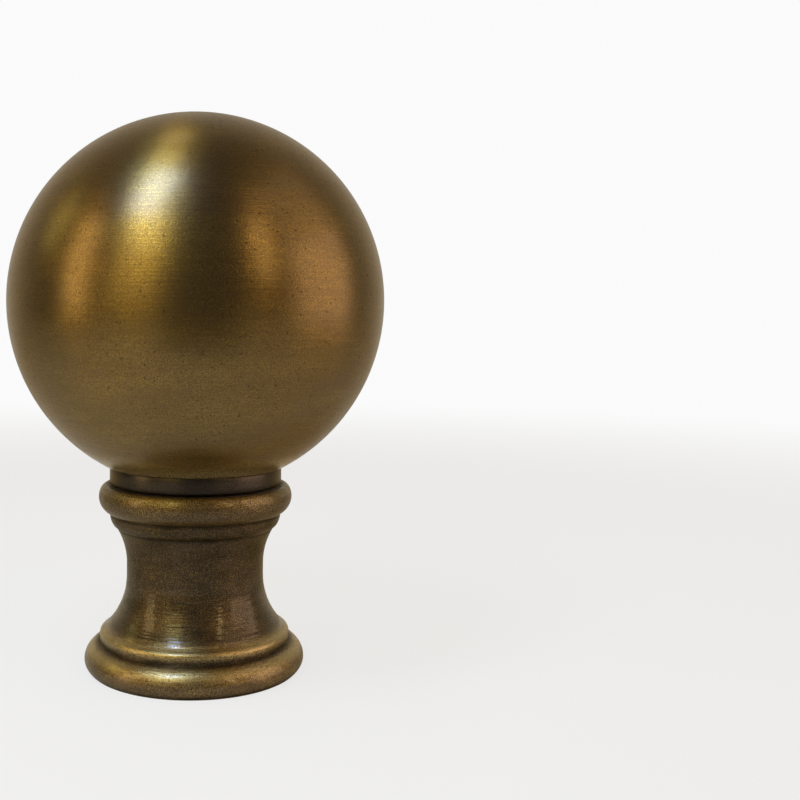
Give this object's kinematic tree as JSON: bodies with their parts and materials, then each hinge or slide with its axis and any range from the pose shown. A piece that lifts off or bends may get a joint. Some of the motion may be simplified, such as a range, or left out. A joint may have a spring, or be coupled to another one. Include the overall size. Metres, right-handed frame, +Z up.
{
  "type": "lamp shade finial",
  "caption": "Ball finial for a lamp shade: large satin brass ball on a dark neck collar and a small turned pedestal with a tapped hole in its foot.",
  "frame": {"origin": "on the turning axis, in the plane of the underside that the finial stands on", "axes": "+Z up along the turning axis, from the foot to the top of the ball; X and Y are free because the part is round"},
  "size_m": [0.0318, 0.0318, 0.0468],
  "materials": {
    "ball": "satin antique brass, brown-gold patina brushed round the turning axis, with fine pits",
    "neck_collar": "dark purple-grey patina left unrelieved",
    "pedestal": "antique brass, dark patina in the hollows and relieved coppery gold on the beads, with lathe lines"
  },
  "bodies": {
    "root": {"ball": "ball", "neck_collar": "neck_collar", "pedestal": "pedestal"}
  },
  "joints": []
}
